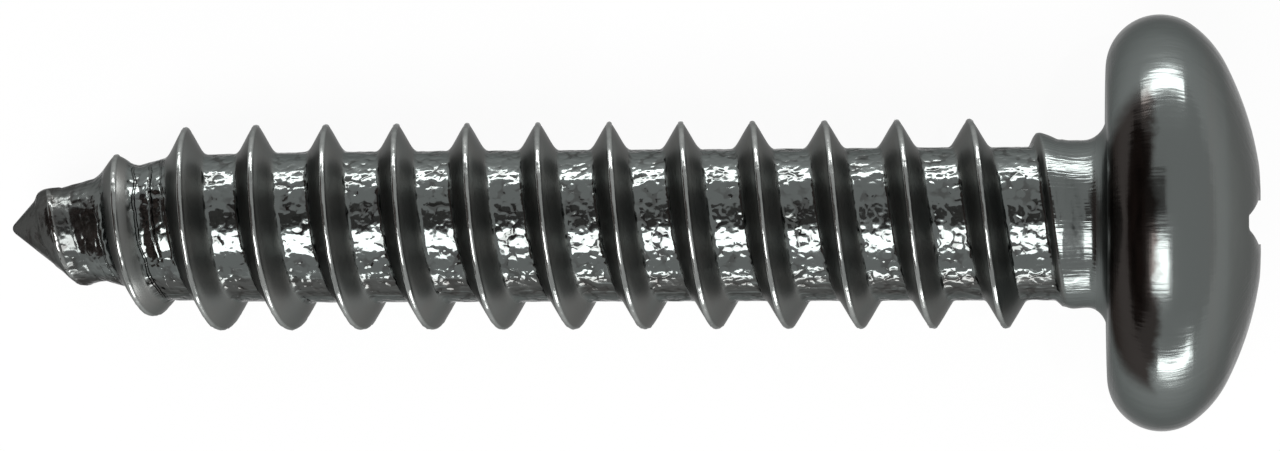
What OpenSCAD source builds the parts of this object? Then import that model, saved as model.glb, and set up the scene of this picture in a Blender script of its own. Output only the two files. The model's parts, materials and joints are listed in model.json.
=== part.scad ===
// Sheet metal screw: pan head, cross recess, coarse right-hand thread, cone point.
// The screw's own axis is X, the bearing face of the head lies at X = 0 and the point looks to -X.
// It is then laid down on the ground as it comes to rest, on the rim of the head and two thread crests.

/* [Length] */
// Length of the screw under the head, from the bearing face to the point
screw_length = 21.55; // [12:0.05:40]

/* [Head] */
// Diameter of the head
head_d = 8; // [6:0.1:12]
// Height of the head over the bearing face
head_h = 3; // [2.6:0.05:4]
// Radius of the rounded rim, from the bearing face up
rim_r = 1.03; // [0.6:0.01:1.2]
// Angle over the horizon at which the rim passes into the shoulder
rim_angle = 36; // [20:1:50]
// Radius of the shoulder between rim and crown
shoulder_r = 2.1; // [1.5:0.05:2.4]

/* [Cross recess] */
// Diameter of the cross where it breaks the crown
recess_d = 4.4; // [3:0.1:5]
// Diameter of the cross at the foot of its wings
recess_foot_d = 2.3; // [1:0.05:3]
// Angle of the wing ends to the screw's axis
recess_end_angle = 26.5; // [15:0.5:35]
// Slope of the recess floor
recess_floor_angle = 20; // [0:1:30]
// Width of a wing at the crown
wing_w = 1.04; // [0.6:0.02:1.4]
// Width of a wing at its foot
wing_foot_w = 0.7; // [0.4:0.02:1]
// Radius of the round middle of the cross at the crown
recess_core_r = 1.05; // [0.6:0.05:1.5]
// Radius of the round middle at the foot of the wings
recess_core_foot_r = 0.58; // [0.3:0.02:1]

/* [Neck] */
// Diameter of the plain neck under the head
neck_d = 3.2; // [3:0.02:3.8]
// Length of the plain neck
neck_l = 0.85; // [0.4:0.05:4]
// Length of the cone between core and neck
neck_cone_l = 0.13; // [0.05:0.01:0.5]
// Radius of the fillet between neck and bearing face
neck_fillet_r = 0.45; // [0.1:0.05:0.8]

/* [Thread] */
// Outer diameter over the crests
thread_d = 4.04; // [3.6:0.01:5]
// Diameter of the core between the crests
core_d = 2.96; // [2.4:0.01:3.4]
// Distance between neighbouring crests
pitch = 1.4; // [1:0.05:2]
// Width of the flat on a crest
crest_w = 0.08; // [0.04:0.01:0.2]
// Angle of each flank to a plane across the axis
flank_angle = 30; // [20:1:40]
// Distance from the bearing face to the last full crest on the +Y side
last_crest_x = 2.62; // [1.5:0.01:8]
// Facets in a turn of the thread
turn_steps = 36; // [24:4:48]

/* [Runout] */
// Turns for which the crest stays full past the last crest
runout_start = 0.55; // [0.2:0.05:1]
// Turns from the start of the runout until the crest has sunk into the neck
runout_turns = 1.1; // [0.6:0.05:1.5]
// Lead of the fading crest
runout_pitch = 1.25; // [0.9:0.05:1.4]
// Radius of the ridge that the fading crest leaves, where it starts
ridge_r = 1.79; // [1.62:0.01:1.9]
// Height of the ridge over the neck, near its end
ridge_h = 0.06; // [0:0.01:0.2]
// Width of the ridge where it ends
ridge_w = 0.15; // [0.1:0.05:0.5]
// Width of the steep flank in front of the ridge
ridge_flank_w = 0.1; // [0.05:0.05:0.3]

/* [Point] */
// Length of the blunt nose in front of the thread
nose_l = 0.6; // [0.3:0.05:1]
// Radius of the nose where the thread starts
nose_r = 0.69; // [0.4:0.01:1]
// How far back the nose reaches on the -Y side
nose_skew = 0.24; // [0:0.01:0.4]
// Radius of the small end of the nose
nose_tip_r = 0.09; // [0.05:0.01:0.2]
// Length of the conical point, nose and all
point_l = 3.3; // [2:0.1:5]
// Radius of the core where the point's cone ends
point_r = 1.43; // [1:0.01:1.48]
// Length of the point over which the crests get lower, nose and all
crest_point_l = 3.7; // [2:0.05:6]
// Radius of the crest where the thread starts
crest_start_r = 0.75; // [0.7:0.01:1.2]
// How round the crests fall off: 1 is a straight cone
crest_bulge = 1.2; // [1:0.1:2]
// Flank angle where the thread starts
nose_flank_angle = 65; // [30:1:70]
// Turns in which the flanks reach their full angle
growth_turns = 1.8; // [1:0.1:3]

/* [Node] */
// Piece to build

/* [Hidden] */
$fn = 96;
steel = [0.42, 0.44, 0.44];
eps = 0.01;
lap = 0.002;

head_r = head_d / 2;
neck_r = neck_d / 2;
thread_r = thread_d / 2;
core_r = core_d / 2;

// Head outline: rim, shoulder and crown are arcs that pass smoothly into each other
rim_c = [head_r - rim_r, rim_r];
shoulder_c = rim_c - (shoulder_r - rim_r) * ray(rim_angle);
crown_drop = head_h - shoulder_c[1];
crown_r = (pow(shoulder_c[0], 2) + pow(crown_drop, 2) - pow(shoulder_r, 2))
          / (2 * (crown_drop - shoulder_r));
crown_c = [0, head_h - crown_r];
crown_angle = atan2(shoulder_c[1] - crown_c[1], shoulder_c[0]);

// Cross recess, measured down from the ring in which it breaks the crown
recess_r = recess_d / 2;
recess_foot_r = recess_foot_d / 2;
recess_top = crown_c[1] + sqrt(pow(crown_r, 2) - pow(recess_r, 2));
recess_wall_l = (recess_r - recess_foot_r) / tan(recess_end_angle);
recess_tip_l = recess_foot_r * tan(recess_floor_angle);
recess_over = head_h - recess_top + eps;

// Core along the axis: nose, cone of the point, and a last slow rise of two pitches
nose_x = nose_l - screw_length;
nose_tip_x = nose_tip_r / 2 - screw_length;
core_line = [
    [nose_x, nose_r],
    [point_l - screw_length, point_r],
    [point_l - screw_length + 2 * pitch, core_r]
];

// The thread is walked in turns, with turn 0 at the last crest on the +Y side
crest_fall_x = crest_point_l - screw_length;
first_turn = (nose_x + last_crest_x + crest_w) / pitch;
last_turn = runout_start + runout_turns;
columns = round((last_turn - first_turn) * turn_steps);
sunk_r = neck_r - 0.06;      // crest radius at the end of the runout, inside the neck
ridge_turns = 0.41 * runout_turns;     // where the crest has become the ridge
root_end_x = head_h / 6;     // the core ends inside the head
crest_line = [
    [0, thread_r],
    [ridge_turns, ridge_r],
    [0.86 * runout_turns, neck_r + ridge_h],
    [runout_turns, sunk_r]
];

// Where the slope behind the ridge has gone down to the core: under the fillet, then inside the head
slope_line = [
    [last_turn - 0.67, -0.3],
    [last_turn - 0.4, 0.1],
    [last_turn, 0.15]
];

function ray(a) = [cos(a), sin(a)];
function turn(i) = first_turn + i / turn_steps;
function at(x, r, t) = [x, r * cos(360 * t), r * sin(360 * t)];

function share(a) = min(1, max(0, a));
function growth(t) = share((t - first_turn) / growth_turns);
function runout(t) = max(0, t - runout_start);
function crest_x(t) = pitch * min(t, runout_start) + runout_pitch * runout(t) - last_crest_x;
function flank(t) = nose_flank_angle + (flank_angle - nose_flank_angle) * growth(t);
function pointed(x) = share((crest_fall_x - x) / (crest_fall_x - nose_x));
function crest_at(x) = thread_r - (thread_r - crest_start_r) * pow(pointed(x), crest_bulge);
function crest_r(t) = runout(t) > 0 ? lookup(runout(t), crest_line) : crest_at(crest_x(t));
function height(t) = crest_at(crest_x(t)) - core_at(crest_x(t));
function core_at(x) = lookup(x, core_line);
function full_foot_w(t) = height(t) * tan(flank(t));
function foot_w(t) = lookup(runout(t), [[0, full_foot_w(t)], [ridge_turns, ridge_flank_w]]);
function land_w(t) = crest_w + (ridge_w - crest_w) * runout(t) / runout_turns;

// Behind the ridge the slope runs on under the neck, so that only its upper part shows
function slope_x(t) =
    let (near = crest_x(t) + land_w(t) - crest_w / 2 + full_foot_w(t))
    t <= last_turn - 1 ? near : lookup(t, concat([[last_turn - 1, near]], slope_line));

// One section across the thread: front foot, front and back edge of the crest, back foot
function section(t) =
    let (front = crest_x(t) - crest_w / 2, foot = front - foot_w(t),
         back = front + land_w(t), slope = slope_x(t))
    [at(foot, core_at(foot), t), at(front, crest_r(t), t), at(back, crest_r(t), t), at(slope, core_at(slope), t)];

// Tilt at which the head's rim and the crests by the point touch the ground together
function touch(p) =
    let (a = rim_c[1] - p[0], b = rim_c[0] + p[2])
    b > rim_c[0] ? 90 : atan2(b, a) + asin(rim_r / norm([a, b]));
rest_tilt = min([for (i = [0 : columns]) let (s = section(turn(i))) min(touch(s[1]), touch(s[2]))]);
rest_lift = rim_c[0] * cos(rest_tilt) + rim_r - rim_c[1] * sin(rest_tilt);
rest_front_x = -screw_length * cos(rest_tilt);
rest_back_x = crown_c[1] * cos(rest_tilt) + crown_r;

module lay_down() {
    translate([-(rest_front_x + rest_back_x) / 2, 0, rest_lift])
        rotate([0, -rest_tilt, 0])
            children();
}

// Each arc is let a hair into the next one, so that they cross instead of only touching
module head_outline() {
    intersection() {
        square([head_d, 2 * head_h]);
        union() {
            translate(rim_c - [lap, lap])
                circle(rim_r + lap);
            intersection() {
                translate(shoulder_c)
                    circle(shoulder_r - lap);
                polygon([
                    shoulder_c, shoulder_c + 2 * shoulder_r * ray(rim_angle),
                    shoulder_c + 3 * shoulder_r * ray((rim_angle + crown_angle) / 2),
                    shoulder_c + 2 * shoulder_r * ray(crown_angle + 10)
                ]);
            }
            intersection() {
                translate(crown_c)
                    circle(crown_r - 2 * lap);
                polygon([
                    [0, 0], [shoulder_c[0], 0], shoulder_c,
                    shoulder_c + 2 * shoulder_r * ray(crown_angle), [0, 2 * head_h]
                ]);
            }
            polygon([
                [0, 0], [rim_c[0], 0], rim_c + [rim_r / 2, 0],
                shoulder_c + shoulder_r / 2 * ray(rim_angle), [0, head_h / 2]
            ]);
        }
    }
}

module neck_outline() {
    polygon([
        [0, eps], [neck_r, eps], [neck_r, -neck_l],
        [core_r - neck_cone_l / 3, -neck_l - neck_cone_l], [0, -neck_l - neck_cone_l]
    ]);
    difference() {
        translate([neck_r - eps, -neck_fillet_r])
            square([neck_fillet_r + eps, neck_fillet_r]);
        translate([neck_r + neck_fillet_r, -neck_fillet_r])
            circle(neck_fillet_r + lap / 4);
    }
}

module head_and_neck() {
    rotate([0, 90, 0])
        rotate_extrude() {
            head_outline();
            neck_outline();
        }
}

module wing() {
    rotate([90, 0, 0])
        linear_extrude(height = recess_d, center = true)
            polygon([
                [-wing_foot_w / 2, -recess_wall_l - recess_tip_l],
                [wing_foot_w / 2, -recess_wall_l - recess_tip_l],
                [wing_w / 2, 0], [wing_w / 2, recess_over],
                [-wing_w / 2, recess_over], [-wing_w / 2, 0]
            ]);
}

// Wings cut to a cone, with a round middle that thins towards the floor
module cross_recess() {
    translate([recess_top, 0, 0])
        rotate([0, 90, 0])
            intersection() {
                rotate_extrude()
                    polygon([
                        [0, -recess_wall_l - recess_tip_l], [recess_foot_r, -recess_wall_l],
                        [recess_r + recess_over * tan(recess_end_angle), recess_over], [0, recess_over]
                    ]);
                union() {
                    wing();
                    rotate([0, 0, 90])
                        wing();
                    translate([0, 0, -recess_wall_l - recess_tip_l])
                        cylinder(
                            h = recess_wall_l + recess_tip_l + recess_over,
                            r1 = recess_core_foot_r, r2 = recess_core_r
                        );
                }
            }
}

// Point, core and thread as one closed strip of sections that winds round the axis
module threaded_shank() {
    n = turn_steps;
    m = columns;
    tips = 4 * (m + 1);         // ring at the small end of the nose
    bases = tips + n;           // ring at the foot of the nose
    roots = bases + n;          // ring that ends the core inside the head
    apex = roots + n;
    centre = apex + 1;
    points = concat(
        [for (i = [0 : m]) each section(turn(i))],
        [for (j = [0 : n - 1]) at(nose_tip_x, nose_tip_r, turn(j))],
        [for (j = [0 : n - 1]) at(nose_x + nose_skew * (1 - cos(360 * turn(j))) / 2, nose_r, turn(j))],
        [for (j = [0 : n - 1]) at(root_end_x, core_r, turn(m - n + j))],
        [[-screw_length, 0, 0], [root_end_x, 0, 0]]
    );
    polyhedron(points, concat(
        [for (i = [0 : m - 1], k = [0 : 2])
            each quad(4 * i + k, 4 * i + k + 1, 4 * i + k + 5, 4 * i + k + 4)],
        [for (i = [0 : m - n - 1]) each quad(4 * i + 3, 4 * (i + n), 4 * (i + n) + 4, 4 * i + 7)],
        [for (j = [0 : n - 1]) [apex, tips + j, tips + (j + 1) % n]],
        [for (j = [0 : n - 1]) each quad(tips + j, bases + j, bases + (j + 1) % n, tips + (j + 1) % n)],
        [for (j = [0 : n - 2]) each quad(bases + j, 4 * j, 4 * j + 4, bases + j + 1)],
        fan(4 * (n - 1), [4 * n, 3, 2, 1, 0, bases, bases + n - 1]),
        fan(4 * (m - n) + 7, [4 * (m - n) + 3, 4 * m, 4 * m + 1, 4 * m + 2, 4 * m + 3, roots, roots + 1]),
        [for (j = [1 : n - 1])
            each quad(4 * (m - n + j) + 3, roots + j, roots + (j + 1) % n, 4 * (m - n + j) + 7)],
        [for (j = [0 : n - 1]) [roots + j, centre, roots + (j + 1) % n]]
    ), convexity = 10);
}

function quad(a, b, c, d) = [[a, b, c], [a, c, d]];
function fan(hub, ring) = [for (k = [0 : len(ring) - 2]) [hub, ring[k], ring[k + 1]]];

module screw() {
    color(steel)
        lay_down()
            difference() {
                union() {
                    threaded_shank();
                    head_and_neck();
                }
                cross_recess();
            }
}

screw();
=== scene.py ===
"""A sheet metal screw with a pan head and a cross recess, at rest on a pale studio floor.

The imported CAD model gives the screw's place. The surface that is seen is modelled here in
millimetres, in the screw's own frame: X runs along the axis, the bearing face of the head lies
at X = 0 and the point looks to -X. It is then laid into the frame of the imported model.
"""

import json
import logging
import math
from contextlib import contextmanager
from dataclasses import dataclass, field
from enum import Enum
from typing import Iterator, Optional, Sequence, Union

import bmesh
import bpy
import numpy as np
from mathutils import Matrix, Vector


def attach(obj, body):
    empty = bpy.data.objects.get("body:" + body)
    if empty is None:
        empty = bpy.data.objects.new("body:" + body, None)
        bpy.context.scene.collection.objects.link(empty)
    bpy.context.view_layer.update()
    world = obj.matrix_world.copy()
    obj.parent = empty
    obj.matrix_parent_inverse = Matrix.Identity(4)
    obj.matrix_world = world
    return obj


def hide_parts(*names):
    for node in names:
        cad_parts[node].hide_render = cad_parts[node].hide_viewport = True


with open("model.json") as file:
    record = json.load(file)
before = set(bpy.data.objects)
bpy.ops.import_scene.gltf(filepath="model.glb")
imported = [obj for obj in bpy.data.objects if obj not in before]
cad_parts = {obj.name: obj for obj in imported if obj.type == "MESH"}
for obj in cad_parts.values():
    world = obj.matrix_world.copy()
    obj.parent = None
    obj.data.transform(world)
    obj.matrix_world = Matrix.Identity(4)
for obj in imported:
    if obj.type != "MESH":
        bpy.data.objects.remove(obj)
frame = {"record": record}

log = logging.getLogger("screw")

MM = 0.001  # metres in a millimetre
NODE = "screw"
BODY = "root"
TOP = 1000.0  # a radius above any on the screw
ORIGIN = (0.0, 0.0, 0.0)

Colour = tuple[float, float, float]


# ---------------------------------------------------------------------------------------------
# Sizes and places
# ---------------------------------------------------------------------------------------------


@dataclass(frozen=True)
class Placement:
    """Where the screw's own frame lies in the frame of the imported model.

    Attributes:
        origin: Middle of the bearing face, in metres.
        axis: Unit vector along the screw, from the point to the head.
    """

    origin: Vector
    axis: Vector

    @classmethod
    def from_record(cls, record: dict) -> "Placement":
        """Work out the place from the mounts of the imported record.

        Args:
            record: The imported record, with the mounts "bearing_face" and "thread".

        Returns:
            The place of the screw's own frame.
        """
        mounts = {mount["name"]: mount for mount in record["mounts"]}
        axis = -Vector(mounts["thread"]["axis"]).normalized()
        on_axis = Vector(mounts["thread"]["pos_m"])
        on_face = Vector(mounts["bearing_face"]["pos_m"])
        return cls(origin=on_axis + axis * (on_face - on_axis).dot(axis), axis=axis)

    @property
    def tilt(self) -> float:
        """Angle by which the head end is raised, in radians."""
        return math.atan2(self.axis.z, self.axis.x)

    @property
    def matrix(self) -> Matrix:
        """Matrix from the screw's own frame, in millimetres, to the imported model's, in metres."""
        turned = Matrix.Rotation(-self.tilt, 4, "Y")
        return Matrix.Translation(self.origin) @ turned @ Matrix.Diagonal((MM, MM, MM, 1.0))


@dataclass(frozen=True)
class ThreadSizes:
    """Sizes of the shank, its thread and its point, in millimetres, turns and degrees."""

    length: float = 21.55
    thread_r: float = 2.02
    core_r: float = 1.48
    pitch: float = 1.4
    crest_w: float = 0.08
    flank_angle: float = 30.0
    last_crest_x: float = 2.62
    runout_start: float = 0.55
    runout_turns: float = 1.1
    runout_pitch: float = 1.25
    ridge_r: float = 1.79
    ridge_h: float = 0.06
    ridge_w: float = 0.15
    ridge_flank_w: float = 0.1
    slope_line: tuple[tuple[float, float], ...] = ((0.67, -0.75), (0.4, -0.25), (0.0, 0.15))
    nose_l: float = 0.6
    nose_r: float = 0.69
    nose_skew: float = 0.24
    nose_tip_r: float = 0.09
    point_l: float = 3.3
    point_r: float = 1.43
    crest_point_l: float = 3.7
    crest_start_r: float = 0.75
    crest_bulge: float = 1.2
    nose_flank_angle: float = 65.0
    growth_turns: float = 1.8
    neck_r: float = 1.6
    neck_l: float = 0.85
    neck_cone_l: float = 0.13
    fillet_r: float = 0.45

    @property
    def nose_x(self) -> float:
        """Where the nose ends and the thread starts."""
        return self.nose_l - self.length

    @property
    def first_turn(self) -> float:
        """Turn at which the thread starts to rise."""
        return (self.nose_x + self.last_crest_x + self.crest_w) / self.pitch

    @property
    def last_turn(self) -> float:
        """Turn at which the fading crest has sunk into the neck."""
        return self.runout_start + self.runout_turns

    @property
    def flank_w(self) -> float:
        """Width of a full flank on the plain shank."""
        return (self.thread_r - self.core_r) * math.tan(math.radians(self.flank_angle))

    @property
    def ridge_turns(self) -> float:
        """Turns of the runout after which the crest has become the ridge."""
        return 0.41 * self.runout_turns


@dataclass(frozen=True)
class HeadSizes:
    """Sizes of the pan head and its cross recess, in millimetres and degrees."""

    head_r: float = 4.0
    head_h: float = 3.0
    rim_r: float = 1.03
    rim_angle: float = 36.0
    shoulder_r: float = 2.1
    recess_r: float = 2.2
    recess_foot_r: float = 1.15
    recess_end_angle: float = 26.5
    recess_floor_angle: float = 20.0
    wing_w: float = 1.04
    wing_foot_w: float = 0.7
    recess_core_r: float = 1.05
    recess_core_foot_r: float = 0.58

    @property
    def rim_c(self) -> tuple[float, float]:
        """Centre of the rim's arc, as radius and height."""
        return self.head_r - self.rim_r, self.rim_r

    @property
    def shoulder_c(self) -> tuple[float, float]:
        """Work out where the shoulder's arc has its centre.

        Returns:
            The centre, as radius and height.
        """
        step = self.shoulder_r - self.rim_r
        turned = math.radians(self.rim_angle)
        return self.rim_c[0] - step * math.cos(turned), self.rim_c[1] - step * math.sin(turned)

    @property
    def crown_r(self) -> float:
        """Radius of the crown, which passes smoothly into the shoulder."""
        across, drop = self.shoulder_c[0], self.head_h - self.shoulder_c[1]
        return (across**2 + drop**2 - self.shoulder_r**2) / (2 * (drop - self.shoulder_r))

    @property
    def crown_angle(self) -> float:
        """Angle over the horizon at which the shoulder passes into the crown, in degrees."""
        low = self.head_h - self.crown_r
        return math.degrees(math.atan2(self.shoulder_c[1] - low, self.shoulder_c[0]))

    def crown_at(self, r: float) -> float:
        """Height of the crown at radius r."""
        return self.head_h - self.crown_r + math.sqrt(self.crown_r**2 - r**2)

    @property
    def recess_wall_l(self) -> float:
        """Depth of the wing ends, from the ring in which the recess breaks the crown."""
        return (self.recess_r - self.recess_foot_r) / math.tan(math.radians(self.recess_end_angle))

    @property
    def recess_tip_l(self) -> float:
        """Depth of the sloping floor below the wing ends."""
        return self.recess_foot_r * math.tan(math.radians(self.recess_floor_angle))


# ---------------------------------------------------------------------------------------------
# Modelling helpers
# ---------------------------------------------------------------------------------------------


def soft_max(a: np.ndarray, b: np.ndarray, reach: float) -> np.ndarray:
    """The larger of two heights, rounded where they lie within reach of each other."""
    near = np.clip(reach - np.abs(a - b), 0.0, None) / reach
    return np.maximum(a, b) + near * near * reach / 4


def soft_min(a: np.ndarray, b: np.ndarray, reach: float) -> np.ndarray:
    """The smaller of two heights, rounded where they lie within reach of each other."""
    return -soft_max(-a, -b, reach)


def smooth_step(x: np.ndarray, low: float, high: float) -> np.ndarray:
    """A smooth rise from 0 at low to 1 at high."""
    s = np.clip((x - low) / (high - low), 0.0, 1.0)
    return s * s * (3 - 2 * s)


def deselect() -> None:
    """Leave object mode with nothing selected, so that the next operator acts on its own piece."""
    if bpy.context.object is not None and bpy.context.object.mode != "OBJECT":
        bpy.ops.object.mode_set(mode="OBJECT")
    bpy.ops.object.select_all(action="DESELECT")


def activate(piece: bpy.types.Object) -> None:
    """Select one piece alone and make it the active one.

    Args:
        piece: The piece.
    """
    deselect()
    piece.select_set(True)
    bpy.context.view_layer.objects.active = piece


@contextmanager
def editing(piece: bpy.types.Object) -> Iterator[None]:
    """Edit one piece alone, with all of it selected at first, and come back to object mode.

    Args:
        piece: The piece.

    Returns:
        A context in which the piece is in edit mode.
    """
    activate(piece)
    bpy.ops.object.mode_set(mode="EDIT")
    bpy.ops.mesh.select_all(action="SELECT")
    yield
    bpy.ops.object.mode_set(mode="OBJECT")


def follow(x: np.ndarray, line: Sequence[tuple[float, float]]) -> np.ndarray:
    """Height at x of a line that is given by its corners."""
    return np.interp(x, [corner[0] for corner in line], [corner[1] for corner in line])


def draw_line(name: str, points: Sequence[tuple[float, float]]) -> bpy.types.Object:
    """Draw an outline by extruding one vertex from point to point.

    Args:
        name: Name of the new object.
        points: Places along the axis and distances from it, in millimetres.

    Returns:
        An object that holds the outline as a chain of edges in the XY plane.
    """
    deselect()
    bpy.ops.mesh.primitive_plane_add(size=1.0, location=ORIGIN)
    line = bpy.context.object
    line.name = name
    with editing(line):
        bpy.ops.mesh.select_mode(type="VERT")
        bpy.ops.mesh.select_all(action="SELECT")
        bpy.ops.mesh.merge(type="CENTER")
        bpy.ops.transform.translate(value=(points[0][0], points[0][1], 0.0))
        for (x0, r0), (x1, r1) in zip(points, points[1:]):
            bpy.ops.mesh.extrude_region_move(TRANSFORM_OT_translate={"value": (x1 - x0, r1 - r0, 0.0)})
    return line


def arc(
    centre: tuple[float, float], radius: float, start: float, end: float, steps: int
) -> list[tuple[float, float]]:
    """Points of an arc as places along the axis and distances from it.

    Args:
        centre: Radius and height of the arc's centre.
        radius: Radius of the arc.
        start: Angle over the horizon at which it starts, in degrees.
        end: Angle at which it ends.
        steps: Number of stretches.

    Returns:
        The arc's points, both ends included, as (height, radius).
    """
    turned = [math.radians(start + (end - start) * i / steps) for i in range(steps + 1)]
    return [(centre[1] + radius * math.sin(a), centre[0] + radius * math.cos(a)) for a in turned]


def apply_modifier(piece: bpy.types.Object, kind: str, **settings: object) -> None:
    """Add a modifier and apply it at once.

    Args:
        piece: The piece.
        kind: The modifier's type.
        settings: Its settings.
    """
    activate(piece)
    modifier = piece.modifiers.new(kind.lower(), kind)
    for key, value in settings.items():
        setattr(modifier, key, value)
    bpy.ops.object.modifier_apply(modifier=modifier.name)


def places(piece: bpy.types.Object) -> np.ndarray:
    """Read where the piece's vertices are.

    Args:
        piece: The piece.

    Returns:
        One row for each vertex.
    """
    flat = np.empty(len(piece.data.vertices) * 3)
    piece.data.vertices.foreach_get("co", flat)
    return flat.reshape(-1, 3)


def set_places(piece: bpy.types.Object, points: np.ndarray) -> None:
    """Move the piece's vertices."""
    piece.data.vertices.foreach_set("co", points.reshape(-1))
    piece.data.update()


def store(piece: bpy.types.Object, name: str, values: np.ndarray) -> None:
    """Keep one number for each vertex in a named attribute of the mesh."""
    kept = piece.data.attributes.get(name) or piece.data.attributes.new(name, "FLOAT", "POINT")
    kept.data.foreach_set("value", values.astype(np.float32))


def roughen(
    piece: bpy.types.Object,
    name: str,
    weights: np.ndarray,
    depth: float,
    size: float,
    middle: float,
) -> None:
    """Push part of a piece in and out by a cloudy pattern.

    Args:
        piece: The piece, in its own frame in millimetres.
        name: Name of the pattern.
        weights: How much each vertex takes part, from 0 to 1.
        depth: Height of the pattern from its lowest to its highest.
        size: Size of its clouds.
        middle: Share of the pattern that leaves the surface where it is.
    """
    group = piece.vertex_groups.new(name=name)
    for i in np.flatnonzero(weights > 0.01):
        group.add([int(i)], float(weights[i]), "REPLACE")
    clouds = bpy.data.textures.new(name, "CLOUDS")
    clouds.noise_scale = size
    clouds.noise_depth = 2
    apply_modifier(
        piece,
        "DISPLACE",
        texture=clouds,
        texture_coords="LOCAL",
        strength=depth,
        mid_level=middle,
        vertex_group=name,
    )
    piece.vertex_groups.remove(piece.vertex_groups[name])


def combine(piece: bpy.types.Object, tool: bpy.types.Object, operation: str) -> None:
    """Join a tool to a piece, cut it out of it or keep what both share, and drop the tool."""
    apply_modifier(piece, "BOOLEAN", operation=operation, object=tool, solver="EXACT")
    bpy.data.objects.remove(tool, do_unlink=True)


def cut_off(piece: bpy.types.Object, x: float, keep_above: bool) -> None:
    """Cut a piece square across the axis and drop one side.

    Args:
        piece: The piece, in its own frame in millimetres.
        x: Where to cut.
        keep_above: Whether the side towards the head stays.
    """
    with editing(piece):
        bpy.ops.mesh.bisect(
            plane_co=(x, 0.0, 0.0),
            plane_no=(1.0, 0.0, 0.0),
            clear_inner=keep_above,
            clear_outer=not keep_above,
            threshold=1e-5,
        )


def select_faces(piece: bpy.types.Object, normal: Vector) -> None:
    """In edit mode, select the faces that look a given way.

    Args:
        piece: The piece.
        normal: The way they look, as a unit vector.
    """
    bpy.ops.mesh.select_mode(type="FACE")
    bpy.ops.mesh.select_all(action="DESELECT")
    mesh = bmesh.from_edit_mesh(piece.data)
    for face in mesh.faces:
        if face.normal.dot(normal) > 0.99:
            face.select = True
    bmesh.update_edit_mesh(piece.data)


def select_rim(piece: bpy.types.Object, low: float, high: float) -> None:
    """In edit mode, select the open edges that lie between two places along the axis.

    Args:
        piece: The piece.
        low: The place nearer to the point.
        high: The place nearer to the head.
    """
    bpy.ops.mesh.select_mode(type="EDGE")
    bpy.ops.mesh.select_all(action="DESELECT")
    mesh = bmesh.from_edit_mesh(piece.data)
    for edge in mesh.edges:
        if edge.is_boundary and all(low <= v.co.x <= high for v in edge.verts):
            edge.select = True
    mesh.select_flush_mode()
    bmesh.update_edit_mesh(piece.data)


# ---------------------------------------------------------------------------------------------
# Threaded shank
# ---------------------------------------------------------------------------------------------


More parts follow.
